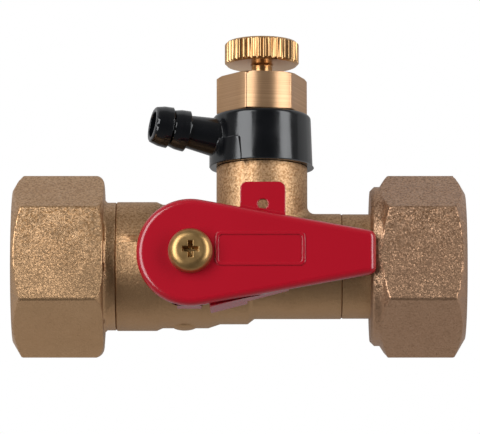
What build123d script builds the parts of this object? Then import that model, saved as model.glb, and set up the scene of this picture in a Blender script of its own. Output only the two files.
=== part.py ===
from build123d import *

import os
from math import asin, atan2, cos, degrees, hypot, radians, sin, sqrt, tan

# Ball valve coupling for an expansion vessel, lying on its hexagon flats.
# X runs along the flow from inlet to outlet, Y up the drain branch, Z up the stem to the lever.
# The origin is on the flow axis where the inlet thread begins. All sizes are in millimetres.

# Clearances
running_gap = 0.05  # radial, between a turning piece and its bore
fitted_gap = 0.02  # between pieces screwed or pushed together
face_gap = 0.10  # between flat faces that slide past each other
swing_gap = 0.35  # between the lever and what it passes over
cut_margin = 1.0  # how far a cutting solid reaches past the face it leaves by

# Hexagons and pipe threads
hex_across_flats = 30.0
hex_edge_radius = 0.8
hex_face_radius = 14.2  # circle left on the hexagon's open end by its chamfer
hex_chamfer_angle = 30.0
thread_crest_radius = 12.06  # three-quarter inch pipe thread, inside
thread_root_radius = 13.22
mouth_depth = 1.0

# Inlet end, screwed into the valve body
inlet_hex_length = 17.0
inlet_hex_back_rounding = 2.2
inlet_thread_length = 13.5
inlet_neck_radius = 11.93
inlet_neck_length = 2.3
neck_fillet = 0.6
seam_chamfer = 0.2  # on both sides of each screwed joint

# Ball, seats and stem
flow_radius = 5.5
ball_radius = 8.6
ball_from_seam = 13.9
chamber_clearance = 0.4
seat_wall = 3.1
seat_front = 4.6  # seat's flat face, from the ball's centre
seat_thickness = 4.0
slot_width = 4.3
slot_depth = 1.8
stem_radius = 4.0
stem_collar_radius = 5.2
stem_collar_height = 1.4
thrust_washer_height = 0.6
seal_section = 0.8
seal_groove_depth = 0.8
stem_seal_pitch = 1.5
stem_seal_land = 1.0  # from a seal's middle to the end of the stem's bore
stem_tip_radius = 3.0
stem_tip_flats = 4.2
stem_riser = 0.5  # stem showing between gland and lever

# Valve body, one forging
spigot_step = 0.6  # inlet spigot's radius over the ball chamber's
body_wall = 2.41
chamber_wall = 2.54
outlet_wall = 1.8
tube_wall = 2.2
inlet_band_length = 7.5
chamber_band_start = -5.3  # from the ball's centre
chamber_band_end = 3.2
outlet_band_start = 5.4
outlet_band_end = 2.7  # before the branch axis
tube_start = 1.4  # before the branch axis
branch_from_ball = 13.2
branch_radius = 8.5
branch_height = 18.6
branch_fillet = 1.5
branch_port_radius = 3.0
branch_socket_radius = 5.6
branch_socket_depth = 6.3
gate_radius = 2.2  # low round mark of the forging on the underside
gate_proud = 0.5
gate_from_ball = -1.2
gate_rounding = 0.4
gland_radius = 5.4
pad_radius = 7.2
pad_drop = 1.9  # pad's top below the gland's
stop_half_width = 7.5
stop_reach = 10.2
post_size = 1.6
post_turn = 155.85
post_orbit = 8.8

# Outlet tail and loose union nut
tail_from_branch = 14.8
tail_radius = 9.75
tail_spigot_radius = 7.6
tail_spigot_length = 9.0
tail_flange_radius = 11.8
tail_flange_thickness = 1.8
nut_from_seam = 5.3
nut_length = 17.7
nut_back_wall = 3.1
nut_collar_length = 1.8
nut_cone_length = 1.6
nut_face_radius = 13.6
nut_hole_clearance = 0.25
nut_thread_length = 9.2
gasket_thickness = 2.0
gasket_radius = 11.6
gasket_hole_radius = 6.4

# Lever, pressed from sheet steel, and its screw
sheet = 1.5
lever_head_radius = 10.0
lever_reach = 34.1
lever_tip_half_width = 4.2
lever_tip_corner = 1.5
lever_edge_radius = 1.3
tab_from_pivot = 13.3
tab_width = 8.35
tab_top = 13.4
tab_corner = 1.3
tab_jog = 2.0
tab_jog_length = 0.5
seal_hole_radius = 0.95
seal_hole_height = 9.24
flange_start = 3.5
flange_step = 10.4
flange_end = 18.2
flange_depth = 4.6
flange_low_depth = 3.3
flange_slope = 11.5
flange_root = 1.0  # where its bend begins, inside the lever's edge
flange_drop = 0.8  # and below the lever's face, under the rounded rim
flange_bend = 0.6
flange_flare = 1.1  # how far its start stands out from the lever's edge
flange_slot = 0.5  # open wedge between the rim and the flared start
flange_slot_end = 13.8
flange_slot_depth = 2.4
lug_start = -2.5
lug_end = 2.1
lug_depth = 3.9
panel_from_pivot = 12.85
panel_rise = 0.5
panel_length = 16.4
panel_height = 6.25
panel_corner = 1.0
panel_line = 0.5
panel_proud = 0.25
screw_head_radius = 4.1
screw_head_height = 2.7
screw_crown_radius = 2.3  # flat middle of the pan head
screw_thread_radius = 2.0
screw_length = 6.0
recess_length = 3.1
recess_width = 0.95
recess_depth = 1.7
recess_taper = 8.0

# Drain bonnet, spout and thumb screw on the branch
collar_height = 9.9
collar_foot_radius = 9.5
collar_top_radius = 9.15
collar_rounding = 0.9
collar_lip = 0.25
shank_radius = 6.4
bonnet_across_flats = 15.0
bonnet_hex_height = 7.1
bonnet_hex_turn = 9.5
bonnet_face_radius = 7.9
bonnet_thread_gap = 0.4  # thread's end above the bottom of its socket
drain_seat_radius = 1.6
drain_seat_height = 3.2
drain_chamber_radius = 3.2
drain_chamber_height = 8.0
weep_radius = 1.1
weep_count = 4
weep_groove_width = 2.2
shank_seal_inset = 1.6
spout_turn = 15.0  # nozzle's turn about the branch, towards the lever's side
spout_rise = 8.8  # nozzle's slope up the branch
spout_height = 4.1  # where the nozzle's axis leaves the branch axis, above the branch rim
patch_edge = 3.9  # raised patch beside the nozzle, its edge from the branch axis
patch_lean = 6.5
patch_proud = 0.35
patch_height = 4.6
nozzle_reach = 21.4
nozzle_tip_radius = 3.1
nozzle_tip_chamfer = 0.5
nozzle_bore_radius = 2.4
barb_radius = 3.87
barb_length = 3.1
barb_pitch = 3.3
barb_undercut = 0.5
barb_land = 1.6  # nearly straight part behind a barb's nose
barb_fall = 0.12
neck_radius = 3.1
root_radius = 3.6
screw_bore_radius = 2.5
screw_neck_radius = 1.95
screw_neck_fillet = 0.3
screw_lift = 2.0
screw_thread_length = 6.6
knob_radius = 6.95
knob_thickness = 4.35
knob_gap = 2.5
knob_chamfer = 0.45
knob_flutes = 42
flute_depth = 0.28
drain_washer_radius = 2.4
drain_washer_height = 1.3
drain_pin_radius = 1.0
drain_pin_height = 1.0

# Places along the flow axis, worked out from the sizes above
inlet_face_x = -mouth_depth
inlet_neck_x = inlet_face_x + inlet_hex_length
seam_x = inlet_neck_x + inlet_neck_length
ball_x = seam_x + ball_from_seam
seat_back = seat_front + seat_thickness
spigot_end_x = ball_x - seat_back
branch_x = ball_x + branch_from_ball
tail_x = branch_x + tail_from_branch
nut_x = tail_x + nut_from_seam
nut_shoulder_x = nut_x + nut_back_wall
flange_x = nut_shoulder_x + face_gap
gasket_x = flange_x + tail_flange_thickness
gasket_end_x = gasket_x + gasket_thickness
nut_face_x = nut_x + nut_length
nut_thread_end_x = nut_face_x - mouth_depth
nut_thread_x = nut_thread_end_x - nut_thread_length

# Radii and heights that follow from the pieces they hold
chamber_radius = ball_radius + chamber_clearance
spigot_radius = chamber_radius + spigot_step
socket_radius = spigot_radius + fitted_gap
inlet_band_radius = socket_radius + body_wall
chamber_band_radius = chamber_radius + chamber_wall
outlet_band_radius = chamber_radius + outlet_wall
tail_socket_radius = tail_spigot_radius + fitted_gap
tube_radius = tail_socket_radius + tube_wall
stem_bore_radius = stem_radius + running_gap
collar_z = chamber_radius + face_gap
washer_z = collar_z + stem_collar_height
shoulder_z = washer_z + thrust_washer_height + face_gap
lower_seal_z = shoulder_z + stem_seal_land
upper_seal_z = lower_seal_z + stem_seal_pitch
gland_z = upper_seal_z + stem_seal_land
lever_z = gland_z + stem_riser
lever_front_z = lever_z + sheet
pad_z = gland_z - pad_drop
nut_collar_radius = lever_z - swing_gap
nut_hole_radius = tail_radius + nut_hole_clearance
collar_y = branch_height + face_gap
collar_top_y = collar_y + collar_height
bonnet_y = collar_top_y + face_gap
bonnet_top_y = bonnet_y + bonnet_hex_height
knob_y = bonnet_top_y + knob_gap
bonnet_foot_y = branch_height - branch_socket_depth + bonnet_thread_gap
drain_seat_y = bonnet_foot_y + drain_seat_height
drain_chamber_top_y = drain_seat_y + drain_chamber_height
spout_y = branch_height + spout_height
weep_y = spout_y
spout_bore_radius = shank_radius + running_gap
bonnet_thread_radius = branch_socket_radius - fitted_gap
drain_screw_radius = screw_bore_radius - running_gap

# Each axis is a plane whose x runs along the axis and whose y is the radius
flow_axis = Plane(origin=(0, 0, 0), x_dir=(1, 0, 0), z_dir=(0, 0, 1))
branch_axis = Plane(origin=(branch_x, 0, 0), x_dir=(0, 1, 0), z_dir=(0, 0, 1))
stem_axis = Plane(origin=(ball_x, 0, 0), x_dir=(0, 0, 1), z_dir=(0, 1, 0))


def turned(axis, points):
    outline = make_face(axis * Polyline(*points, close=True))
    return revolve(outline, Axis(axis.origin, axis.x_dir))


def rod(axis, start, end, radius):
    return turned(axis, [(start, 0), (end, 0), (end, radius), (start, radius)])


def ring(axis, start, end, inside, outside):
    return turned(axis, [(start, inside), (end, inside), (end, outside), (start, outside)])


def cone(axis, start, start_radius, end, end_radius):
    return turned(axis, [(start, 0), (end, 0), (end, end_radius), (start, start_radius)])


def hexagon(axis, start, end, across_flats, turn=0, edge_radius=0):
    # With no turn, two of the flats face along the axis plane's z
    section = Plane(origin=axis.origin + axis.x_dir * start, x_dir=axis.z_dir, z_dir=axis.x_dir)
    outline = RegularPolygon(across_flats / 2, 6, major_radius=False, rotation=30 + turn)
    if edge_radius:
        outline = fillet(outline.vertices(), edge_radius)
    return extrude(section * outline, end - start)


def seal(axis, place, groove_radius):
    # A round rubber ring lying in a groove, its section a little smaller than the groove
    section = axis * Pos(place, groove_radius + fitted_gap + seal_section / 2) * Circle(seal_section / 2)
    return revolve(section, Axis(axis.origin, axis.x_dir))


def seal_groove(axis, place, floor_radius, outside):
    half = seal_section / 2 + face_gap
    return ring(axis, place - half, place + half, floor_radius, outside + cut_margin)


def hex_chamfer(radius):
    # Axial depth of the chamfer that leaves a circle of this radius on the hexagon's end
    corner = hex_across_flats / sqrt(3)
    return (corner - radius) * tan(radians(hex_chamfer_angle))


def inlet_end():
    corner = hex_across_flats / sqrt(3)
    limits = turned(flow_axis, [
        (inlet_face_x, 0),
        (inlet_face_x, hex_face_radius),
        (inlet_face_x + hex_chamfer(hex_face_radius), corner),
        (inlet_neck_x, corner),
        (inlet_neck_x, 0),
    ])
    limits = fillet(limits.edges().group_by(Axis.X)[-1], inlet_hex_back_rounding)
    head = hexagon(flow_axis, inlet_face_x, inlet_neck_x, hex_across_flats, edge_radius=hex_edge_radius) & limits
    neck = turned(flow_axis, [
        (inlet_neck_x - cut_margin, 0),
        (inlet_neck_x - cut_margin, inlet_neck_radius + neck_fillet),
        (inlet_neck_x, inlet_neck_radius + neck_fillet),
        (inlet_neck_x + neck_fillet, inlet_neck_radius),
        (seam_x - seam_chamfer, inlet_neck_radius),
        (seam_x, inlet_neck_radius - seam_chamfer),
        (seam_x, spigot_radius),
        (spigot_end_x, spigot_radius),
        (spigot_end_x, 0),
    ])
    thread = rod(flow_axis, 0, inlet_thread_length, thread_crest_radius)
    mouth = cone(flow_axis, inlet_face_x, thread_crest_radius + mouth_depth, 0, thread_crest_radius)
    drill = inlet_thread_length + (thread_crest_radius - flow_radius) * tan(radians(hex_chamfer_angle))
    point = cone(flow_axis, inlet_thread_length, thread_crest_radius, drill, flow_radius)
    passage = rod(flow_axis, 0, spigot_end_x + cut_margin, flow_radius)
    return head + neck - thread - mouth - point - passage


def inlet_seat():
    blank = ring(flow_axis, spigot_end_x, ball_x - seat_front, chamber_radius - fitted_gap - seat_wall,
                 chamber_radius - fitted_gap)
    return blank - Pos(ball_x, 0, 0) * Sphere(ball_radius + running_gap)


def outlet_seat():
    return mirror(inlet_seat(), Plane(origin=(ball_x, 0, 0), z_dir=(1, 0, 0)))


def ball():
    whole = Pos(ball_x, 0, 0) * Sphere(ball_radius)
    bore = rod(flow_axis, ball_x - ball_radius - cut_margin, ball_x + ball_radius + cut_margin, flow_radius)
    slot = Pos(ball_x, 0, ball_radius) * Box(slot_width, 2 * ball_radius, 2 * slot_depth)
    return whole - bore - slot


def stem():
    floor_radius = stem_radius - seal_groove_depth
    tip_z = lever_front_z - face_gap
    tongue = Pos(ball_x, 0, ball_radius - slot_depth + fitted_gap) * Box(
        slot_width - 2 * fitted_gap, 2 * stem_radius, collar_z - ball_radius + slot_depth + cut_margin,
        align=(Align.CENTER, Align.CENTER, Align.MIN))
    tongue &= rod(stem_axis, 0, washer_z, stem_radius)
    collar = rod(stem_axis, collar_z, washer_z, stem_collar_radius)
    shaft = rod(stem_axis, washer_z, lever_z, stem_radius)
    tip = rod(stem_axis, lever_z, tip_z, stem_tip_radius)
    tip &= Pos(ball_x, 0, lever_z) * Box(2 * stem_radius, stem_tip_flats, 4 * sheet)
    body = tongue + collar + shaft + tip
    body -= seal_groove(stem_axis, lower_seal_z, floor_radius, stem_radius)
    body -= seal_groove(stem_axis, upper_seal_z, floor_radius, stem_radius)
    hole_end = lever_front_z - screw_length - face_gap
    return body - rod(stem_axis, hole_end, tip_z + cut_margin, screw_thread_radius + fitted_gap)


def valve_body():
    outside = turned(flow_axis, [
        (seam_x, 0),
        (seam_x, inlet_band_radius - seam_chamfer),
        (seam_x + seam_chamfer, inlet_band_radius),
        (seam_x + inlet_band_length, inlet_band_radius),
        (ball_x + chamber_band_start, chamber_band_radius),
        (ball_x + chamber_band_end, chamber_band_radius),
        (ball_x + outlet_band_start, outlet_band_radius),
        (branch_x - outlet_band_end, outlet_band_radius),
        (branch_x - tube_start, tube_radius),
        (tail_x - seam_chamfer, tube_radius),
        (tail_x, tube_radius - seam_chamfer),
        (tail_x, 0),
    ])
    tube = rod(flow_axis, ball_x, tail_x - 2 * seam_chamfer, tube_radius)
    tee = tube + rod(branch_axis, 0, branch_height, branch_radius)
    saddle_top = tube_radius + cut_margin
    crotch = [e for e in tee.edges() if e.bounding_box().min.Y > 0 and e.bounding_box().max.Y < saddle_top]
    shell = outside + fillet(crotch, branch_fillet)
    gate_end = chamber_band_radius + gate_proud
    gate = Pos(ball_x + gate_from_ball, 0, 0) * Rot(90, 0, 0) * Cylinder(
        gate_radius, gate_end, align=(Align.CENTER, Align.CENTER, Align.MIN))
    gate = fillet(gate.edges().group_by(Axis.Y)[0], gate_rounding)
    gland = rod(stem_axis, 0, gland_z, gland_radius) + rod(stem_axis, 0, pad_z, pad_radius)
    stop = Pos(ball_x, 0, 0) * Box(
        stop_reach, stop_half_width, pad_z, align=(Align.MIN, Align.MAX, Align.MIN))
    post = Pos(ball_x, 0, 0) * Rot(0, 0, post_turn) * Pos(post_orbit, 0, 0) * Cylinder(
        post_size / 2, gland_z, align=(Align.CENTER, Align.CENTER, Align.MIN))
    body = shell + gate + gland + stop + post
    body -= rod(flow_axis, seam_x - cut_margin, spigot_end_x, socket_radius)
    body -= rod(flow_axis, spigot_end_x - cut_margin, ball_x + seat_back, chamber_radius)
    body -= rod(flow_axis, ball_x, tail_x + cut_margin, flow_radius)
    body -= rod(flow_axis, tail_x - tail_spigot_length, tail_x + cut_margin, tail_socket_radius)
    body -= rod(stem_axis, 0, shoulder_z, stem_collar_radius + running_gap)
    body -= rod(stem_axis, 0, gland_z + cut_margin, stem_bore_radius)
    socket_floor = branch_height - branch_socket_depth
    body -= rod(branch_axis, 0, branch_height, branch_port_radius)
    return body - rod(branch_axis, socket_floor, branch_height + cut_margin, branch_socket_radius)


def outlet_tail():
    return turned(flow_axis, [
        (tail_x - tail_spigot_length, flow_radius),
        (tail_x - tail_spigot_length, tail_spigot_radius),
        (tail_x, tail_spigot_radius),
        (tail_x, tail_radius - seam_chamfer),
        (tail_x + seam_chamfer, tail_radius),
        (flange_x, tail_radius),
        (flange_x, tail_flange_radius),
        (gasket_x, tail_flange_radius),
        (gasket_x, flow_radius),
    ])


def union_nut():
    corner = hex_across_flats / sqrt(3)
    cone_x = nut_x + nut_collar_length
    limits = turned(flow_axis, [
        (nut_x, 0),
        (nut_x, nut_collar_radius - hex_edge_radius),
        (nut_x + hex_edge_radius, nut_collar_radius),
        (cone_x, nut_collar_radius),
        (cone_x + nut_cone_length, corner),
        (nut_face_x - hex_chamfer(nut_face_radius), corner),
        (nut_face_x, nut_face_radius),
        (nut_face_x, 0),
    ])
    body = hexagon(flow_axis, nut_x, nut_face_x, hex_across_flats, edge_radius=hex_edge_radius) & limits
    body -= rod(flow_axis, nut_x - cut_margin, nut_face_x, nut_hole_radius)
    body -= rod(flow_axis, nut_shoulder_x, nut_thread_x, thread_root_radius)
    body -= rod(flow_axis, nut_shoulder_x, nut_thread_end_x, thread_crest_radius)
    return body - cone(flow_axis, nut_thread_end_x, thread_crest_radius, nut_face_x,
                       thread_crest_radius + mouth_depth)


def bent_section(plane, depth, flare=0):
    # Section of a bent edge: x runs out from the lever's edge, y is the height
    slope = radians(flange_slope)
    down = Vector(sin(slope), -cos(slope))
    inward = Vector(-cos(slope), -sin(slope)) * sheet
    start = Vector(flare - flange_root, lever_front_z - flange_drop)
    bend_end = start + Vector(flange_bend * cos(slope), -flange_bend * (1 - sin(slope)))
    foot = bend_end + down * ((bend_end.Y - lever_front_z + depth) / cos(slope))
    inner_foot = foot + inward
    rise = (lever_z - inner_foot.Y) / cos(slope)
    inner_corner = inner_foot - down * rise
    root = -flange_root - 2 * sheet
    outline = [
        Polyline(inner_corner, (root, lever_z), (root, start.Y), start),
        TangentArc(start, bend_end, tangent=(1, 0)),
        Polyline(bend_end, foot, inner_foot, inner_corner),
    ]
    return make_face(plane * Curve(children=outline))


def lever_taper():
    # Angle between the lever's middle line and each of its straight edges
    along = lever_reach - lever_tip_corner
    across = lever_tip_half_width - lever_tip_corner
    swing = asin((lever_head_radius - lever_tip_corner) / hypot(along, across))
    return swing - atan2(across, along)


def edge_plane(side, along=0):
    # Plane square to a straight edge of the lever: x runs out from the edge, y is the height
    out = Vector(sin(lever_taper()), side * cos(lever_taper()), 0)
    square = out.cross(Vector(0, 0, 1))
    origin = Vector(ball_x, 0, 0) + out * lever_head_radius + square * side * along
    return Plane(origin=origin, x_dir=out, z_dir=square)


def lever_plate():
    head = Circle(lever_head_radius)
    corners = [
        Pos(lever_reach - lever_tip_corner, side * (lever_tip_half_width - lever_tip_corner))
        * Circle(lever_tip_corner)
        for side in (-1, 1)
    ]
    outline = make_hull(head.edges() + corners[0].edges() + corners[1].edges())
    plate = extrude(Pos(ball_x, 0, lever_z) * outline, sheet)
    return fillet(plate.edges().group_by(Axis.Z)[-1], lever_edge_radius)


def lever_tab():
    low = lever_front_z - tab_jog
    high = lever_z + sheet / 2
    section = [
        (-2 * sheet, lever_z),
        (-2 * sheet, high),
        (-flange_root / 2, high),
        (tab_jog_length, low),
        (tab_top, low),
        (tab_top, low - sheet),
        (tab_jog_length - flange_root, low - sheet),
        (-sheet, lever_z),
    ]
    strip = extrude(make_face(edge_plane(1) * Polyline(*section, close=True)), lever_reach, both=True)
    blank = Pos(ball_x + tab_from_pivot, 0) * Rectangle(tab_width, 2 * tab_top)
    column = extrude(fillet(blank.vertices(), tab_corner), 2 * lever_front_z)
    half = Pos(ball_x, 0, 0) * Box(
        2 * lever_reach, tab_top, 4 * lever_front_z, align=(Align.CENTER, Align.MIN, Align.CENTER))
    hole = Pos(ball_x + tab_from_pivot, seal_hole_height, 0) * Cylinder(seal_hole_radius, 4 * lever_front_z)
    return (strip & column & half) - hole


def lever_flange():
    # Deep at its start and shallow past the step, flared at its start with a slot that closes along it
    drop = lever_head_radius * sin(lever_taper())
    start, step, slot_end, end = [
        (x - drop) / cos(lever_taper()) for x in (flange_start, flange_step, flange_slot_end, flange_end)]
    flared = bent_section(edge_plane(-1, start), flange_depth, flange_flare)
    plain = bent_section(edge_plane(-1, end), flange_depth)
    mouth = start - cut_margin
    mouth_width = flange_slot * (slot_end - mouth) / (slot_end - start)
    wedge = make_face(Polyline(
        edge_plane(-1, mouth).from_local_coords((0, 0, 0)),
        edge_plane(-1, mouth).from_local_coords((mouth_width, 0, 0)),
        edge_plane(-1, slot_end).from_local_coords((0, 0, 0)), close=True))
    slot = extrude(Pos(0, 0, lever_front_z - flange_slot_depth) * wedge, flange_slot_depth, dir=(0, 0, 1))
    trim = Location(edge_plane(-1, step)) * Box(
        2 * lever_head_radius, 2 * (lever_front_z - flange_low_depth), lever_reach,
        align=(Align.CENTER, Align.CENTER, Align.MAX))
    return loft([flared, plain], ruled=True) - trim - slot


def lever_lug():
    plane = Plane(origin=(ball_x + lug_end, -lever_head_radius, 0), x_dir=(0, -1, 0), z_dir=(-1, 0, 0))
    section = bent_section(plane, lug_depth)
    return extrude(section, lug_end - lug_start, dir=(-1, 0, 0))


def lever_handle():
    panel = RectangleRounded(panel_length, panel_height, panel_corner)
    panel -= RectangleRounded(panel_length - 2 * panel_line, panel_height - 2 * panel_line,
                              panel_corner - panel_line / 2)
    panel = extrude(Pos(ball_x + panel_from_pivot, panel_rise, lever_front_z) * panel, panel_proud)
    body = lever_plate() + lever_tab() + lever_flange() + lever_lug() + panel
    hole = rod(stem_axis, 0, 2 * lever_front_z, stem_tip_radius + fitted_gap)
    hole &= Pos(ball_x, 0, lever_z) * Box(4 * stem_radius, stem_tip_flats + 2 * fitted_gap, 4 * sheet)
    return body - hole


def lever_screw():
    crown = lever_front_z + screw_head_height
    head = rod(stem_axis, lever_front_z, crown, screw_head_radius)
    head = fillet(head.edges().group_by(Axis.Z)[-1], screw_head_radius - screw_crown_radius)
    shank = rod(stem_axis, lever_front_z - screw_length, lever_front_z, screw_thread_radius)
    cross = Rectangle(recess_length, recess_width) + Rectangle(recess_width, recess_length)
    recess = extrude(Pos(ball_x, 0, crown) * cross, -recess_depth, taper=recess_taper)
    return head + shank - recess


def union_gasket():
    return ring(flow_axis, gasket_x, gasket_end_x, gasket_hole_radius, gasket_radius)


def thrust_washer():
    return ring(stem_axis, washer_z, washer_z + thrust_washer_height, stem_bore_radius, stem_collar_radius)


def drain_bonnet():
    corner = bonnet_across_flats / sqrt(3)
    chamfer = (corner - bonnet_face_radius) * tan(radians(hex_chamfer_angle))
    limits = turned(branch_axis, [
        (bonnet_y, 0),
        (bonnet_y, corner),
        (bonnet_top_y - chamfer, corner),
        (bonnet_top_y, bonnet_face_radius),
        (bonnet_top_y, 0),
    ])
    body = hexagon(branch_axis, bonnet_y, bonnet_top_y, bonnet_across_flats, bonnet_hex_turn) & limits
    body += rod(branch_axis, branch_height, bonnet_y, shank_radius)
    body += rod(branch_axis, bonnet_foot_y, branch_height, bonnet_thread_radius)
    for place in shank_seal_places():
        body -= seal_groove(branch_axis, place, shank_radius - seal_groove_depth, shank_radius)
    half = weep_groove_width / 2
    body -= ring(branch_axis, weep_y - half, weep_y + half, shank_radius - seal_groove_depth,
                 shank_radius + cut_margin)
    for number in range(weep_count):
        body -= Pos(branch_x, weep_y, 0) * Rot(0, 360 / weep_count * number, 0) * Cylinder(
            weep_radius, shank_radius + cut_margin, align=(Align.CENTER, Align.CENTER, Align.MIN))
    body -= rod(branch_axis, bonnet_foot_y - cut_margin, drain_chamber_top_y, drain_seat_radius)
    body -= rod(branch_axis, drain_seat_y, drain_chamber_top_y, drain_chamber_radius)
    return body - rod(branch_axis, drain_seat_y, bonnet_top_y + cut_margin, screw_bore_radius)


def shank_seal_places():
    return collar_y + shank_seal_inset, collar_top_y - shank_seal_inset


def nozzle():
    # Built along +X from the branch axis and then swung to its place
    tip = nozzle_reach
    points = [(0, 0), (0, root_radius), (collar_foot_radius, root_radius)]
    first = tip - 2 * barb_pitch
    points.append((first - barb_undercut, neck_radius))
    for number in range(2):
        edge = first + number * barb_pitch
        points.append((edge, neck_radius))
        points.append((edge, barb_radius))
        points.append((edge + barb_land, barb_radius - barb_fall))
        points.append((edge + barb_length, nozzle_tip_radius + nozzle_tip_chamfer / 2))
    points.append((tip, nozzle_tip_radius))
    points.append((tip, 0))
    return turned(flow_axis, points)


def hose_spout():
    swing = Pos(branch_x, spout_y, 0) * Rot(0, 180 + spout_turn, 0) * Rot(0, 0, spout_rise)
    collar = turned(branch_axis, [
        (collar_y, 0),
        (collar_y, collar_foot_radius + collar_lip),
        (collar_y + collar_lip, collar_foot_radius),
        (collar_top_y, collar_top_radius),
        (collar_top_y, 0),
    ])
    collar = fillet(collar.edges().group_by(Axis.Y)[-1], collar_rounding)
    patch = ring(branch_axis, collar_y, collar_y + patch_height, shank_radius, collar_foot_radius + patch_proud)
    patch &= Pos(branch_x - patch_edge, collar_y, 0) * Rot(0, 0, patch_lean) * Box(
        2 * collar_foot_radius, 4 * patch_height, 2 * collar_foot_radius,
        align=(Align.MAX, Align.CENTER, Align.MIN))
    body = collar + patch + swing * nozzle()
    body -= swing * rod(flow_axis, 0, nozzle_reach + cut_margin, nozzle_bore_radius)
    return body - rod(branch_axis, collar_y - cut_margin, collar_top_y + cut_margin, spout_bore_radius)


def screw_foot_y():
    return drain_seat_y + face_gap + drain_washer_height


def screw_seal_y():
    thread_foot = bonnet_top_y - screw_lift - face_gap - screw_thread_length
    return thread_foot - seal_section


def drain_screw():
    foot = screw_foot_y() + fitted_gap
    thread_top = bonnet_top_y - screw_lift - face_gap
    spindle = turned(branch_axis, [
        (foot - drain_pin_height, 0),
        (foot - drain_pin_height, drain_pin_radius),
        (foot, drain_pin_radius),
        (foot, screw_neck_radius),
        (screw_seal_y() - seal_section, screw_neck_radius),
        (screw_seal_y() - seal_section, drain_screw_radius),
        (thread_top, drain_screw_radius),
        (thread_top, screw_neck_radius),
        (knob_y - screw_neck_fillet, screw_neck_radius),
        (knob_y, screw_neck_radius + screw_neck_fillet),
        (knob_y, 0),
    ])
    spindle -= seal_groove(branch_axis, screw_seal_y(), drain_screw_radius - seal_groove_depth,
                           drain_screw_radius)
    knob_top = knob_y + knob_thickness
    limits = turned(branch_axis, [
        (knob_y, 0),
        (knob_y, knob_radius - knob_chamfer),
        (knob_y + knob_chamfer, knob_radius),
        (knob_top - knob_chamfer, knob_radius),
        (knob_top, knob_radius - knob_chamfer),
        (knob_top, 0),
    ])
    face = Circle(knob_radius)
    groove = Rot(0, 0, 45) * Rectangle(flute_depth * sqrt(2), flute_depth * sqrt(2))
    face -= PolarLocations(knob_radius, knob_flutes) * groove
    section = Plane(origin=(branch_x, knob_y, 0), x_dir=(0, 0, 1), z_dir=(0, 1, 0))
    return spindle + (extrude(section * face, knob_thickness) & limits)


def drain_washer():
    start = drain_seat_y + face_gap
    return ring(branch_axis, start, start + drain_washer_height, drain_pin_radius + running_gap,
                drain_washer_radius)


pieces = {
    "valve_body": valve_body(),
    "inlet_end": inlet_end(),
    "inlet_seat": inlet_seat(),
    "outlet_seat": outlet_seat(),
    "outlet_tail": outlet_tail(),
    "union_gasket": union_gasket(),
    "union_nut": union_nut(),
    "ball": ball(),
    "stem": stem(),
    "stem_thrust_washer": thrust_washer(),
    "stem_seal_lower": seal(stem_axis, lower_seal_z, stem_radius - seal_groove_depth),
    "stem_seal_upper": seal(stem_axis, upper_seal_z, stem_radius - seal_groove_depth),
    "lever_handle": lever_handle(),
    "lever_screw": lever_screw(),
    "drain_bonnet": drain_bonnet(),
    "spout_seal_lower": seal(branch_axis, shank_seal_places()[0], shank_radius - seal_groove_depth),
    "spout_seal_upper": seal(branch_axis, shank_seal_places()[1], shank_radius - seal_groove_depth),
    "hose_spout": hose_spout(),
    "drain_screw": drain_screw(),
    "drain_screw_seal": seal(branch_axis, screw_seal_y(), drain_screw_radius - seal_groove_depth),
    "drain_washer": drain_washer(),
}

os.makedirs("parts", exist_ok=True)
for name, piece in pieces.items():
    export_step(piece, f"parts/{name}.step")
    print(name, len(piece.solids()), "solid", round(piece.volume, 1), "mm3")
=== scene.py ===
import bpy
import math
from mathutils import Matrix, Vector


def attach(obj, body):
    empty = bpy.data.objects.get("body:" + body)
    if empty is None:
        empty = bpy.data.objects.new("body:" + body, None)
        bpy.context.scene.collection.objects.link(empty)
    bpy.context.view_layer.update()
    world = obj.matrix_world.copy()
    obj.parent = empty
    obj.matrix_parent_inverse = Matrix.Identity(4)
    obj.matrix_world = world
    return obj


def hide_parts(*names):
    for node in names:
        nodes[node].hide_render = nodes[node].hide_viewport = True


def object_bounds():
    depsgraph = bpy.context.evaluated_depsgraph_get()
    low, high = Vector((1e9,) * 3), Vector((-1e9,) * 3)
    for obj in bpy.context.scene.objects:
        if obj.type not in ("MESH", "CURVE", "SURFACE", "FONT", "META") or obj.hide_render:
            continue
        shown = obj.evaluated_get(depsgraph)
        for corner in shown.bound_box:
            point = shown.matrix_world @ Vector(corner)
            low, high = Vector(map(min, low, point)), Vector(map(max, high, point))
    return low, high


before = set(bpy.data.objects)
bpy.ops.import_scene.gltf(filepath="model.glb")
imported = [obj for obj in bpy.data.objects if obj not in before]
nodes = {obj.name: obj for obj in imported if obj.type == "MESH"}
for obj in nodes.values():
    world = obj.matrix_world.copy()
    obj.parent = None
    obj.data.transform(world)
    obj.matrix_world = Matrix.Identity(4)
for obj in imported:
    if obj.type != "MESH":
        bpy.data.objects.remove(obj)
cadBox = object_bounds()
mm = 0.001
weldGap = 0.002 * mm  # points closer than this become one
flatAngle = math.radians(0.4)  # facets that turn less than this become one face
smoothAngle = math.radians(32)  # faces that turn less than this are shaded as one
print("frame loaded,", len(nodes), "CAD nodes")


def toLinear(hexColour):
    channels = [int(hexColour[i:i + 2], 16) / 255 for i in (1, 3, 5)]
    return [c / 12.92 if c <= 0.04045 else ((c + 0.055) / 1.055) ** 2.4 for c in channels] + [1.0]


def perMetre(sizeMm):
    return 1000 / sizeMm  # texture scale for a feature of this many millimetres


def addNode(tree, kind, settings, links):
    node = tree.nodes.new(kind)
    for key, value in settings.items():
        if isinstance(key, str) and hasattr(node, key):
            setattr(node, key, value)
        else:
            node.inputs[key].default_value = value
    for key, source in links.items():
        tree.links.new(source, node.inputs[key])
    return node


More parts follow.
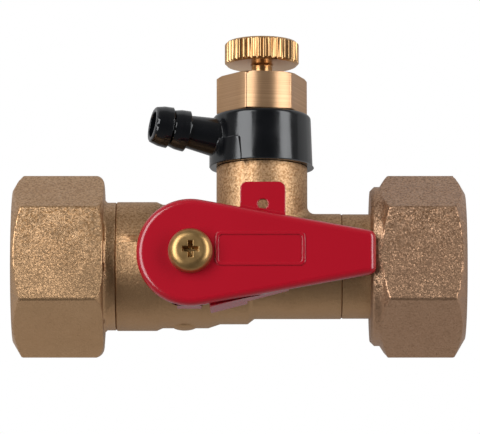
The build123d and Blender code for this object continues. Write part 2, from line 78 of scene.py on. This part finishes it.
def startMaterial(name, settings):
    material = bpy.data.materials.new(name)
    material.use_nodes = True
    tree = material.node_tree
    shader = tree.nodes["Principled BSDF"]
    for socket, value in settings.items():
        shader.inputs[socket].default_value = value
    place = addNode(tree, "ShaderNodeTexCoord", {}, {}).outputs["Object"]
    return material, tree, shader, place


def selectOnly(piece):
    bpy.ops.object.select_all(action="DESELECT")
    piece.select_set(True)
    bpy.context.view_layer.objects.active = piece


# Forged brass, shot-blasted: every face is a field of tiny flat dents that each catch the light alone
forgedBrassLook = {
    "pale": "#D2AD86", "warm": "#C89F77", "dark": "#A07850", "driftMm": 11.0,
    "dentMm": 0.15, "dentTilt": 0.23,  # about the real size of a shot's dent
    "grainMm": 0.4, "grainDeepMm": 0.008, "grainStrength": 0.6,
    "hollowBelow": 0.38, "crestAbove": 0.56,  # painted shade: the grain is dark in its hollows and bright on its crests
    "skinMm": 4.0, "skinTilt": 0.16,  # the uneven skin that the die leaves under the dents
    "evenShadeBelowMm": -7.0, "speckleShadeAboveMm": 9.0, "evenShadeMix": 0.66,  # painted light and shade by height: one even tone below, and above it dark hollows and bright crests where light falls on the upper side
    "roughLow": 0.39, "roughHigh": 0.47,
}
# the body and the nut use darker copies of the same brass: the body a shade darker, the nut darker still as
# painted shade for the lesser light it gets, and the nut is blasted harder
bodyBrassLook = {
    **forgedBrassLook, "pale": "#CAA67F", "warm": "#C09871", "dark": "#9C7650",
    "roughLow": 0.46, "roughHigh": 0.54,
}
nutShadedBrassLook = {
    **forgedBrassLook, "pale": "#C8A283", "warm": "#BE9577", "dark": "#8C6A4E",
    "dentMm": 0.17, "dentTilt": 0.40,
}


def makeForgedBrass(name, look):
    material, tree, shader, place = startMaterial(name, {"Metallic": 1.0})
    dents = addNode(tree, "ShaderNodeTexVoronoi", {"Scale": perMetre(look["dentMm"])}, {"Vector": place})
    grain = addNode(tree, "ShaderNodeTexNoise", {
        "Scale": perMetre(look["grainMm"]), "Detail": 3.0, "Roughness": 0.6}, {"Vector": place})
    drift = addNode(tree, "ShaderNodeTexNoise", {
        "Scale": perMetre(look["driftMm"]), "Detail": 3.0}, {"Vector": place})
    skin = addNode(tree, "ShaderNodeTexNoise", {
        "Scale": perMetre(look["skinMm"]), "Detail": 2.0}, {"Vector": place})
    tone = addNode(tree, "ShaderNodeMix", {
        "data_type": "RGBA", 6: toLinear(look["pale"]), 7: toLinear(look["warm"])},
        {0: drift.outputs["Fac"]})
    # painted shade in the grain's hollows
    paintedHollowShade = addNode(tree, "ShaderNodeMapRange", {
        "From Min": look["hollowBelow"], "From Max": look["crestAbove"]}, {"Value": grain.outputs["Fac"]})
    # painted light and shade by height: the grain's shade shows on the upper side, and below it is one even
    # tone
    side = addNode(tree, "ShaderNodeSeparateXYZ", {}, {0: place})
    speckleShadeByHeight = addNode(tree, "ShaderNodeMapRange", {
        "From Min": look["evenShadeBelowMm"] * mm, "From Max": look["speckleShadeAboveMm"] * mm}, {"Value": side.outputs["Y"]})
    shown = addNode(tree, "ShaderNodeMix", {"data_type": "FLOAT", 2: look["evenShadeMix"]},
                    {0: speckleShadeByHeight.outputs["Result"], 3: paintedHollowShade.outputs["Result"]})
    colour = addNode(tree, "ShaderNodeMix", {"data_type": "RGBA", 6: toLinear(look["dark"])},
                     {0: shown.outputs[0], 7: tone.outputs[2]})
    rough = addNode(tree, "ShaderNodeMapRange", {
        "To Min": look["roughHigh"], "To Max": look["roughLow"]}, {"Value": grain.outputs["Fac"]})
    bump = addNode(tree, "ShaderNodeBump", {
        "Distance": look["grainDeepMm"] * mm, "Strength": look["grainStrength"]},
        {"Height": grain.outputs["Fac"]})
    turned = bump.outputs["Normal"]
    for pattern, amount in ((dents, look["dentTilt"]), (skin, look["skinTilt"])):
        lean = addNode(tree, "ShaderNodeVectorMath", {"operation": "SUBTRACT", 1: (0.5, 0.5, 0.5)},
                       {0: pattern.outputs["Color"]})
        tilt = addNode(tree, "ShaderNodeVectorMath", {"operation": "SCALE", "Scale": amount},
                       {0: lean.outputs["Vector"]})
        turned = addNode(tree, "ShaderNodeVectorMath", {"operation": "ADD"},
                         {0: turned, 1: tilt.outputs["Vector"]}).outputs["Vector"]
    facing = addNode(tree, "ShaderNodeVectorMath", {"operation": "NORMALIZE"}, {0: turned})
    tree.links.new(colour.outputs[2], shader.inputs["Base Color"])
    tree.links.new(rough.outputs["Result"], shader.inputs["Roughness"])
    tree.links.new(facing.outputs["Vector"], shader.inputs["Normal"])
    return material


# Turned brass, satin from the tool: fine rings round the axis that blur reflections sideways
turnedBrassLook = {
    "pale": "#CDA580", "dark": "#B08965",
    "ringMm": 0.22,  # real tool rings are finer, and these are as fine as the picture can show
    "ringLongMm": 40.0, "ringDeepMm": 0.005, "ringStrength": 0.7, "grooveBelow": 0.24, "landAbove": 0.74,
    "waveMm": 6.6, "waveCrestMm": 42.8,  # a slow swell across the flats that gathers light into streaks
    "waveBend": 0.6, "troughTilt": -0.08, "crestTilt": 0.30,
    "stainMm": 5.0, "roughLow": 0.36, "roughHigh": 0.44,
}


def makeTurnedBrass(name, look, axis):
    material, tree, shader, place = startMaterial(name, {"Metallic": 1.0})
    stretch = [perMetre(look["ringLongMm"])] * 3
    stretch["XYZ".index(axis)] = perMetre(look["ringMm"])
    along = addNode(tree, "ShaderNodeMapping", {"Scale": stretch}, {"Vector": place})
    rings = addNode(tree, "ShaderNodeTexNoise", {"Scale": 1.0, "Detail": 3.0},
                    {"Vector": along.outputs["Vector"]})
    stain = addNode(tree, "ShaderNodeTexNoise", {
        "Scale": perMetre(look["stainMm"]), "Detail": 4.0}, {"Vector": place})
    waveLength = 2 * math.pi / 20  # of Blender's wave at scale 1
    wave = addNode(tree, "ShaderNodeTexWave", {
        "Scale": waveLength * perMetre(look["waveMm"]), "Distortion": look["waveBend"], "Detail": 1.0,
        "Phase Offset": math.pi * (1 - 2 * look["waveCrestMm"] / look["waveMm"])}, {"Vector": place})
    lean = addNode(tree, "ShaderNodeMapRange", {
        "To Min": look["troughTilt"], "To Max": look["crestTilt"]}, {"Value": wave.outputs["Fac"]})
    lines = addNode(tree, "ShaderNodeMapRange", {
        "From Min": look["grooveBelow"], "From Max": look["landAbove"]}, {"Value": rings.outputs["Fac"]})
    colour = addNode(tree, "ShaderNodeMix", {
        "data_type": "RGBA", 6: toLinear(look["dark"]), 7: toLinear(look["pale"])},
        {0: lines.outputs["Result"]})
    rough = addNode(tree, "ShaderNodeMapRange", {
        "To Min": look["roughLow"], "To Max": look["roughHigh"]}, {"Value": stain.outputs["Fac"]})
    bump = addNode(tree, "ShaderNodeBump", {
        "Distance": look["ringDeepMm"] * mm, "Strength": look["ringStrength"]},
        {"Height": rings.outputs["Fac"]})
    sideways = addNode(tree, "ShaderNodeCombineXYZ", {}, {"X": lean.outputs[0]})
    turned = addNode(tree, "ShaderNodeVectorMath", {"operation": "ADD"},
                     {0: bump.outputs["Normal"], 1: sideways.outputs[0]})
    facing = addNode(tree, "ShaderNodeVectorMath", {"operation": "NORMALIZE"},
                     {0: turned.outputs["Vector"]})
    tree.links.new(colour.outputs[2], shader.inputs["Base Color"])
    tree.links.new(rough.outputs["Result"], shader.inputs["Roughness"])
    tree.links.new(facing.outputs["Vector"], shader.inputs["Normal"])
    return material


# Red stoved enamel over sheet steel: a wet-looking gloss with a slight orange peel
redEnamelLook = {
    "base": "#A80920", "deep": "#9F081C", "driftMm": 14.0,
    "peelMm": 1.6, "peelDeepMm": 0.006, "peelStrength": 0.5,
    "rough": 0.24, "coat": 0.4, "coatRough": 0.08, "ior": 1.54,
}


def makeRedEnamel(look):
    material, tree, shader, place = startMaterial("redStovedEnamel", {
        "Roughness": look["rough"], "IOR": look["ior"],
        "Coat Weight": look["coat"], "Coat Roughness": look["coatRough"]})
    peel = addNode(tree, "ShaderNodeTexNoise", {
        "Scale": perMetre(look["peelMm"]), "Detail": 1.0}, {"Vector": place})
    drift = addNode(tree, "ShaderNodeTexNoise", {
        "Scale": perMetre(look["driftMm"]), "Detail": 2.0}, {"Vector": place})
    colour = addNode(tree, "ShaderNodeMix", {
        "data_type": "RGBA", 6: toLinear(look["base"]), 7: toLinear(look["deep"])},
        {0: drift.outputs["Fac"]})
    bump = addNode(tree, "ShaderNodeBump", {
        "Distance": look["peelDeepMm"] * mm, "Strength": look["peelStrength"]},
        {"Height": peel.outputs["Fac"]})
    tree.links.new(colour.outputs[2], shader.inputs["Base Color"])
    tree.links.new(bump.outputs["Normal"], shader.inputs["Normal"])
    tree.links.new(bump.outputs["Normal"], shader.inputs["Coat Normal"])
    return material


# Black ABS, injection moulded: glossy, with the faint flow ripple of a small tool
blackAbsLook = {
    "base": "#07080A", "pale": "#0E0F12", "ior": 1.54,
    "rippleMm": 3.2, "rippleDeepMm": 0.012, "rippleStrength": 0.5, "roughLow": 0.12, "roughHigh": 0.24,
}


def makeBlackAbs(look):
    material, tree, shader, place = startMaterial("blackMouldedAbs", {"IOR": look["ior"]})
    ripple = addNode(tree, "ShaderNodeTexNoise", {
        "Scale": perMetre(look["rippleMm"]), "Detail": 2.0}, {"Vector": place})
    colour = addNode(tree, "ShaderNodeMix", {
        "data_type": "RGBA", 6: toLinear(look["base"]), 7: toLinear(look["pale"])},
        {0: ripple.outputs["Fac"]})
    rough = addNode(tree, "ShaderNodeMapRange", {
        "To Min": look["roughLow"], "To Max": look["roughHigh"]}, {"Value": ripple.outputs["Fac"]})
    bump = addNode(tree, "ShaderNodeBump", {
        "Distance": look["rippleDeepMm"] * mm, "Strength": look["rippleStrength"]},
        {"Height": ripple.outputs["Fac"]})
    tree.links.new(colour.outputs[2], shader.inputs["Base Color"])
    tree.links.new(rough.outputs["Result"], shader.inputs["Roughness"])
    tree.links.new(bump.outputs["Normal"], shader.inputs["Normal"])
    return material


# Smooth finishes, each with one soft mottle in its tone and gloss
mottledLooks = {
    "polishedBrass": {  # bright and yellow, with the faint haze of handling
        "dark": "#BF925F", "pale": "#D2A877", "mottleMm": 2.4, "detail": 4.0,
        "metal": 1.0, "roughLow": 0.24, "roughHigh": 0.34},
    "yellowZincPlatedSteel": {  # a dull gold with cloudy patches
        "dark": "#9A7446", "pale": "#C8A46E", "mottleMm": 1.8, "detail": 3.0,
        "metal": 1.0, "roughLow": 0.32, "roughHigh": 0.44},
    "hardChrome": {  # a cool mirror, hardly clouded
        "dark": "#B9BBBF", "pale": "#D2D4D7", "mottleMm": 2.0, "detail": 3.0,
        "metal": 1.0, "roughLow": 0.06, "roughHigh": 0.14},
    "skivedPtfe": {  # milky white and waxy
        "dark": "#DCD9CF", "pale": "#EFEDE6", "mottleMm": 1.2, "detail": 3.0,
        "metal": 0.0, "roughLow": 0.45, "roughHigh": 0.60},
    "nitrileRubber": {  # nearly black and dull
        "dark": "#121213", "pale": "#1E1E1F", "mottleMm": 0.6, "detail": 3.0,
        "metal": 0.0, "roughLow": 0.50, "roughHigh": 0.70},
}


def makeMottled(name, look):
    material, tree, shader, place = startMaterial(name, {"Metallic": look["metal"]})
    mottle = addNode(tree, "ShaderNodeTexNoise", {
        "Scale": perMetre(look["mottleMm"]), "Detail": look["detail"]}, {"Vector": place})
    colour = addNode(tree, "ShaderNodeMix", {
        "data_type": "RGBA", 6: toLinear(look["dark"]), 7: toLinear(look["pale"])},
        {0: mottle.outputs["Fac"]})
    rough = addNode(tree, "ShaderNodeMapRange", {
        "To Min": look["roughLow"], "To Max": look["roughHigh"]}, {"Value": mottle.outputs["Fac"]})
    tree.links.new(colour.outputs[2], shader.inputs["Base Color"])
    tree.links.new(rough.outputs["Result"], shader.inputs["Roughness"])
    return material


forgedBrass = makeForgedBrass("forgedBrassBlasted", forgedBrassLook)
bodyBrass = makeForgedBrass("forgedBrassBody", bodyBrassLook)
# the nut's darker copy of the brass is painted shade
nutShadedBrass = makeForgedBrass("forgedBrassNutShaded", nutShadedBrassLook)
bonnetBrass = makeTurnedBrass("turnedBrassBonnet", turnedBrassLook, "Y")
threadBrass = makeTurnedBrass("turnedBrassThread", turnedBrassLook, "X")
stemBrass = makeTurnedBrass("turnedBrassStem", turnedBrassLook, "Z")
redEnamel = makeRedEnamel(redEnamelLook)
blackAbs = makeBlackAbs(blackAbsLook)
mottled = {name: makeMottled(name, look) for name, look in mottledLooks.items()}
print("materials made:", len(bpy.data.materials))


def dressNode(look, finish):
    # a welded copy of the CAD node stands for the node
    piece = bpy.data.objects.new(look["name"], nodes[look["node"]].data.copy())
    bpy.context.scene.collection.objects.link(piece)
    piece.data.materials.clear()
    piece.data.materials.append(finish)
    selectOnly(piece)
    bpy.ops.object.mode_set(mode="EDIT")
    bpy.ops.mesh.select_all(action="SELECT")
    bpy.ops.mesh.remove_doubles(threshold=weldGap)
    if look["mergeFlats"]:
        bpy.ops.mesh.dissolve_limited(angle_limit=flatAngle)
    bpy.ops.mesh.select_all(action="DESELECT")
    bpy.ops.object.mode_set(mode="OBJECT")
    return piece


def roundEdges(piece, look, widthMm, roomMm):
    # sharp edges whose two faces leave this much room are rounded, and thinner steps stay as they are
    selectOnly(piece)
    aside = [0 if axis == look["axis"] else 1 for axis in "XYZ"]
    away = [(v.co - look["centre"]) * Vector(aside) for v in piece.data.vertices]
    sharp = math.radians(look["edgeAngle"])
    sides = {}
    for face in piece.data.polygons:
        face.select = False
        for key in face.edge_keys:
            sides.setdefault(key, []).append(face)
    for v in piece.data.vertices:
        v.select = False
    picked = 0
    for edge in piece.data.edges:
        faces = sides.get(edge.key, [])
        edge.select = False
        if len(faces) == 2 and faces[0].normal.angle(faces[1].normal, 0) > sharp:
            start, end = [piece.data.vertices[i].co for i in edge.vertices]
            room = min(face.area for face in faces) / (end - start).length / mm
            outside = min(away[i].length for i in edge.vertices) > look["fromMm"] * mm
            edge.select = outside and roomMm[0] <= room < roomMm[1]
            picked += edge.select
    bpy.context.tool_settings.mesh_select_mode = (False, True, False)
    bpy.ops.object.mode_set(mode="EDIT")
    if picked:
        bpy.ops.mesh.bevel(
            offset=widthMm * mm, segments=look["edgeSteps"], affect="EDGES", clamp_overlap=False)
    bpy.ops.mesh.select_all(action="SELECT")
    bpy.ops.mesh.remove_doubles(threshold=weldGap)
    bpy.ops.mesh.select_all(action="DESELECT")
    bpy.ops.object.mode_set(mode="OBJECT")


def smoothFaces(piece):
    selectOnly(piece)
    bpy.ops.object.shade_smooth_by_angle(angle=smoothAngle)
    flats = piece.modifiers.new("flats", "WEIGHTED_NORMAL")
    flats.mode = "FACE_AREA_WITH_ANGLE"
    flats.keep_sharp = True
    bpy.ops.object.modifier_apply(modifier="flats")


def easeEdges(piece, look):
    roomPerWidth = 2.2  # a rounding takes up a little over its own width on both sides
    enough = roomPerWidth * look["edgeMm"]
    if "fineMm" in look:
        roundEdges(piece, look, look["fineMm"], (roomPerWidth * look["fineMm"], enough))
    roundEdges(piece, look, look["edgeMm"], (enough, math.inf))
    smoothFaces(piece)


def settle(piece, look):
    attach(piece, look["body"])
    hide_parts(look["node"])
    print(look["name"], len(piece.data.polygons), "faces")


# Three-quarter inch pipe thread, shared by the inlet end and the nut
pipeThread = {
    "crestRadius": 12.06, "rootRadius": 13.22, "pitchMm": 1.814, "footMm": 1.62, "crestMm": 0.34,
    "sinkMm": 0.06,  # how far the ridge's foot is let into the wall
    "stepsPerTurn": 72, "wallSlackMm": 0.03, "endSlackMm": 0.01,
}


def widenBore(piece, look):
    # the CAD bore stands at the thread's crest, so its wall goes back to the root for the ridge
    selectOnly(piece)
    first = look["boreStart"] - look["endSlackMm"]
    last = look["boreEnd"] + look["endSlackMm"]
    for v in piece.data.vertices:
        radius = math.hypot(v.co.y, v.co.z) / mm
        v.select = first < v.co.x / mm < last and abs(radius - look["crestRadius"]) < look["wallSlackMm"]
    bpy.ops.object.mode_set(mode="EDIT")
    bpy.context.tool_settings.mesh_select_mode = (True, False, False)
    grow = look["rootRadius"] / look["crestRadius"]
    bpy.ops.transform.resize(value=(1, grow, grow), center_override=(0, 0, 0))
    bpy.ops.object.mode_set(mode="OBJECT")


def cutThread(name, look, finish):
    # one flank section, screwed round the flow axis
    bpy.ops.object.select_all(action="DESELECT")
    deep = look["rootRadius"] - look["crestRadius"] + look["sinkMm"]
    middle = look["crestRadius"] + deep / 2
    bpy.ops.mesh.primitive_plane_add(size=mm, location=(look["threadStart"] * mm, middle * mm, 0))
    ridge = bpy.context.object
    ridge.name = name
    bpy.ops.object.mode_set(mode="EDIT")
    centre = ridge.location.copy()
    bpy.ops.transform.resize(value=(look["footMm"], deep, 1), center_override=centre)
    bpy.ops.mesh.select_all(action="DESELECT")
    bpy.ops.object.mode_set(mode="OBJECT")
    for v in ridge.data.vertices:
        v.select = v.co.y < 0
    bpy.ops.object.mode_set(mode="EDIT")
    bpy.ops.transform.resize(value=(look["crestMm"] / look["footMm"], 1, 1), center_override=centre)
    bpy.ops.mesh.select_all(action="SELECT")
    bpy.ops.mesh.delete(type="ONLY_FACE")
    bpy.ops.object.mode_set(mode="OBJECT")
    bpy.ops.object.transform_apply(location=True, rotation=True, scale=True)
    turns = (look["threadEnd"] - look["threadStart"]) / look["pitchMm"]
    screw = ridge.modifiers.new("thread", "SCREW")
    screw.axis = "X"
    screw.angle = 2 * math.pi * turns
    screw.screw_offset = look["pitchMm"] * mm * turns
    screw.steps = screw.render_steps = round(look["stepsPerTurn"] * turns)
    bpy.ops.object.modifier_apply(modifier="thread")
    bpy.ops.object.mode_set(mode="EDIT")
    bpy.ops.mesh.select_all(action="SELECT")
    bpy.ops.mesh.remove_doubles(threshold=weldGap / 2)
    bpy.ops.mesh.select_all(action="DESELECT")
    bpy.ops.mesh.select_non_manifold()
    bpy.ops.mesh.edge_face_add()
    bpy.ops.mesh.select_all(action="SELECT")
    bpy.ops.mesh.normals_make_consistent(inside=False)
    bpy.ops.object.mode_set(mode="OBJECT")
    bpy.ops.object.shade_smooth_by_angle(angle=smoothAngle)
    ridge.data.materials.append(finish)
    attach(ridge, look["body"])
    print(name, len(ridge.data.polygons), "faces")


# Valve body, with the round mark of the forging on its side
bodyLook = {
    "node": "valve_body", "name": "valveBody", "body": "valve", "slot": "forged_brass",
    "mergeFlats": False,
    "markX": 31.0, "markReach": 2.3, "bandRadius": 11.54, "bandSlack": 0.03, "markSink": 0.95,
    "domeRadius": 2.6, "domeHeight": 1.04, "domeDeep": 11.0, "domeSegments": 48, "domeRings": 24,
}


def domeMark(piece, look):
    # the CAD mark is a stepped disc: it is sunk, and a low dome that runs out into the body takes its place
    selectOnly(piece)
    for v in piece.data.vertices:
        nearby = math.hypot(v.co.x / mm - look["markX"], v.co.z / mm) < look["markReach"]
        v.select = nearby and v.co.y / mm < -look["bandRadius"] - look["bandSlack"]
    bpy.context.tool_settings.mesh_select_mode = (True, False, False)
    bpy.ops.object.mode_set(mode="EDIT")
    bpy.ops.transform.resize(value=(1, look["markSink"], 1), center_override=(0, 0, 0))
    bpy.ops.mesh.select_all(action="DESELECT")
    bpy.ops.object.mode_set(mode="OBJECT")
    bpy.ops.object.select_all(action="DESELECT")
    bpy.ops.mesh.primitive_uv_sphere_add(
        segments=look["domeSegments"], ring_count=look["domeRings"], radius=look["domeRadius"] * mm,
        location=(look["markX"] * mm, -look["domeDeep"] * mm, 0))
    dome = bpy.context.object
    dome.name = "forgingMark"
    dome.scale.y = look["domeHeight"] / look["domeRadius"]
    bpy.ops.object.transform_apply(location=True, rotation=True, scale=True)
    bpy.ops.object.shade_smooth()
    dome.data.materials.append(bodyBrass)
    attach(dome, look["body"])
    print(dome.name, len(dome.data.polygons), "faces")


valveBody = dressNode(bodyLook, bodyBrass)
domeMark(valveBody, bodyLook)
smoothFaces(valveBody)
settle(valveBody, bodyLook)

# Inlet end, with the pipe thread in its socket
inletLook = {
    "node": "inlet_end", "name": "inletEnd", "body": "valve", "slot": "forged_brass",
    "mergeFlats": True, "edgeMm": 0.25, "edgeSteps": 2, "edgeAngle": 24,
    "centre": Vector((0, 0, 0)), "axis": "X", "fromMm": 14.9,
    **pipeThread, "boreStart": 0.0, "boreEnd": 13.5, "threadStart": 0.6, "threadEnd": 12.4,
}
inletEnd = dressNode(inletLook, forgedBrass)
widenBore(inletEnd, inletLook)
easeEdges(inletEnd, inletLook)
settle(inletEnd, inletLook)
cutThread("inletThread", inletLook, threadBrass)

# Union nut, with its own thread
nutLook = {
    "node": "union_nut", "name": "unionNut", "body": "nut", "slot": "forged_brass",
    "mergeFlats": True, "edgeMm": 0.25, "edgeSteps": 2, "edgeAngle": 24,
    "centre": Vector((0, 0, 0)), "axis": "X", "fromMm": 14.9,
    **pipeThread, "boreStart": 73.0, "boreEnd": 82.2, "threadStart": 73.6, "threadEnd": 81.4,
}
unionNut = dressNode(nutLook, nutShadedBrass)
widenBore(unionNut, nutLook)
easeEdges(unionNut, nutLook)
settle(unionNut, nutLook)
cutThread("unionThread", nutLook, threadBrass)

# Outlet tail, blasted along with the body
tailLook = {
    "node": "outlet_tail", "name": "outletTail", "body": "valve", "slot": "turned_brass",
    "mergeFlats": False,
}
outletTail = dressNode(tailLook, bodyBrass)
smoothFaces(outletTail)
settle(outletTail, tailLook)

# Lever and its screw, both about the stem
stemLine = Vector((32.2, 0, 0)) * mm
leverLook = {
    "node": "lever_handle", "name": "leverHandle", "body": "lever", "slot": "red_paint",
    "mergeFlats": True, "edgeMm": 0.2, "fineMm": 0.1, "edgeSteps": 3, "edgeAngle": 38,
    "centre": stemLine, "axis": "Z", "fromMm": 0.0,
}
leverHandle = dressNode(leverLook, redEnamel)
easeEdges(leverHandle, leverLook)
settle(leverHandle, leverLook)

leverScrewLook = {
    "node": "lever_screw", "name": "leverScrew", "body": "lever", "slot": "plated_steel",
    "mergeFlats": True, "edgeMm": 0.1, "edgeSteps": 2, "edgeAngle": 38,
    "centre": stemLine, "axis": "Z", "fromMm": 0.0,
}
leverScrew = dressNode(leverScrewLook, mottled["yellowZincPlatedSteel"])
easeEdges(leverScrew, leverScrewLook)
settle(leverScrew, leverScrewLook)

# Drain branch: bonnet, spout and thumb screw, all about the branch
branchLine = Vector((45.4, 0, 0)) * mm
bonnetLook = {
    "node": "drain_bonnet", "name": "drainBonnet", "body": "valve", "slot": "turned_brass",
    "mergeFlats": True, "edgeMm": 0.22, "edgeSteps": 3, "edgeAngle": 24,
    "centre": branchLine, "axis": "Y", "fromMm": 7.2,
}
drainBonnet = dressNode(bonnetLook, bonnetBrass)
easeEdges(drainBonnet, bonnetLook)
settle(drainBonnet, bonnetLook)

spoutLook = {
    "node": "hose_spout", "name": "hoseSpout", "body": "spout", "slot": "black_plastic",
    "mergeFlats": True, "edgeMm": 0.2, "fineMm": 0.08, "edgeSteps": 3, "edgeAngle": 26,
    "centre": branchLine, "axis": "Y", "fromMm": 0.0,
}
hoseSpout = dressNode(spoutLook, blackAbs)
easeEdges(hoseSpout, spoutLook)
settle(hoseSpout, spoutLook)

thumbScrewLook = {
    "node": "drain_screw", "name": "drainScrew", "body": "screw", "slot": "polished_brass",
    "mergeFlats": True,
}
drainScrew = dressNode(thumbScrewLook, mottled["polishedBrass"])
smoothFaces(drainScrew)
settle(drainScrew, thumbScrewLook)

# Pieces inside keep their CAD shape and get their own finish
innerFinish = {
    "ball": mottled["hardChrome"], "stem": stemBrass,
    "inlet_seat": mottled["skivedPtfe"], "outlet_seat": mottled["skivedPtfe"],
    "stem_thrust_washer": mottled["skivedPtfe"], "union_gasket": mottled["nitrileRubber"],
    "stem_seal_lower": mottled["nitrileRubber"], "stem_seal_upper": mottled["nitrileRubber"],
    "spout_seal_lower": mottled["nitrileRubber"], "spout_seal_upper": mottled["nitrileRubber"],
    "drain_screw_seal": mottled["nitrileRubber"], "drain_washer": mottled["nitrileRubber"],
}
for nodeName, finish in innerFinish.items():
    nodes[nodeName].data.materials.clear()
    nodes[nodeName].data.materials.append(finish)
print("inner pieces finished:", len(innerFinish))

# Floor: pale paper, plain white to the camera and dimmer where metal mirrors it
floorLook = {"sizeM": 6.0, "colour": "#AEAEAE", "rough": 0.9, "white": 1.0, "whiteInGloss": 0.25}


def makeFloor(look):
    bpy.ops.object.select_all(action="DESELECT")
    bpy.ops.mesh.primitive_plane_add(size=look["sizeM"], location=(0, 0, cadBox[0].z))
    floor = bpy.context.object
    floor.name = "floor"
    material = bpy.data.materials.new("palePaperSweep")
    material.use_nodes = True
    tree = material.node_tree
    paper = tree.nodes["Principled BSDF"]
    paper.inputs["Base Color"].default_value = toLinear(look["colour"])
    paper.inputs["Roughness"].default_value = look["rough"]
    paper.inputs["Specular IOR Level"].default_value = 0.0
    rays = addNode(tree, "ShaderNodeLightPath", {}, {})
    seen = addNode(tree, "ShaderNodeMath", {"operation": "MAXIMUM"}, {
        0: rays.outputs["Is Camera Ray"], 1: rays.outputs["Is Transmission Ray"]})
    direct = addNode(tree, "ShaderNodeMath", {"operation": "MULTIPLY", 1: look["white"]}, {
        0: seen.outputs[0]})
    mirrored = addNode(tree, "ShaderNodeMath", {"operation": "MULTIPLY", 1: look["whiteInGloss"]}, {
        0: rays.outputs["Is Glossy Ray"]})
    share = addNode(tree, "ShaderNodeMath", {"operation": "MAXIMUM"}, {
        0: direct.outputs[0], 1: mirrored.outputs[0]})
    white = addNode(tree, "ShaderNodeEmission", {"Color": (1, 1, 1, 1), "Strength": 1.0}, {})
    blend = addNode(tree, "ShaderNodeMixShader", {}, {
        0: share.outputs[0], 1: paper.outputs[0], 2: white.outputs[0]})
    tree.links.new(blend.outputs[0], tree.nodes["Material Output"].inputs["Surface"])
    floor.data.materials.append(material)


makeFloor(floorLook)

# Light: a panel on each side of a dark gap overhead, the left one wider, and a dim room
target = Vector((41.3, 9.4, 0)) * mm
lampTint = (0.96, 0.98, 1.0)  # daylight, a little cool
softboxes = {
    "leftPanel": {"place": (-0.221, 0.09, 0.298), "wide": 0.50, "tall": 0.248, "power": 2.03},
    "rightPanel": {"place": (0.413, 0.09, 0.253), "wide": 0.50, "tall": 0.198, "power": 1.55},
}


def addSoftbox(name, look):
    bpy.ops.object.select_all(action="DESELECT")
    bpy.ops.object.light_add(type="AREA", location=look["place"])
    lamp = bpy.context.object
    lamp.name = name
    lamp.data.shape = "RECTANGLE"
    lamp.data.size = look["wide"]
    lamp.data.size_y = look["tall"]
    lamp.data.energy = look["power"]
    lamp.data.color = lampTint
    lamp.rotation_mode = "QUATERNION"
    lamp.rotation_quaternion = (target - Vector(look["place"])).to_track_quat("-Z", "Y")
    lamp.visible_camera = False


for boxName, boxLook in softboxes.items():
    addSoftbox(boxName, boxLook)

roomLook = {"above": "#3A3A3A", "level": "#8C8C8C", "strength": 1.0}


def makeRoom(look):
    world = bpy.data.worlds.new("studioRoom")
    bpy.context.scene.world = world
    world.use_nodes = True
    tree = world.node_tree
    sky = tree.nodes["Background"]
    way = addNode(tree, "ShaderNodeTexCoord", {}, {})
    height = addNode(tree, "ShaderNodeSeparateXYZ", {}, {0: way.outputs["Generated"]})
    shade = addNode(tree, "ShaderNodeMix", {
        "data_type": "RGBA", 6: toLinear(look["level"]), 7: toLinear(look["above"])},
        {0: height.outputs["Z"]})
    tree.links.new(shade.outputs[2], sky.inputs["Color"])
    sky.inputs["Strength"].default_value = look["strength"]


makeRoom(roomLook)
print("studio lit")

# Camera: a long lens, looking down on the lever from slightly in front
cameraLook = {"elevation": 79.7, "distance": 0.935, "lens": 375.0, "sensor": 36.0, "clipFrom": 0.01}


def addCamera(look):
    lift = math.radians(look["elevation"])
    back = Vector((0, -math.cos(lift), math.sin(lift)))
    bpy.ops.object.camera_add(location=target + back * look["distance"])
    camera = bpy.context.object
    camera.name = "photoCamera"
    camera.data.lens = look["lens"]
    camera.data.sensor_width = look["sensor"]
    camera.data.clip_start = look["clipFrom"]
    camera.rotation_mode = "QUATERNION"
    camera.rotation_quaternion = (-back).to_track_quat("-Z", "Y")
    bpy.context.scene.camera = camera


addCamera(cameraLook)
bpy.context.scene.view_settings.view_transform = "Standard"
print("camera set")
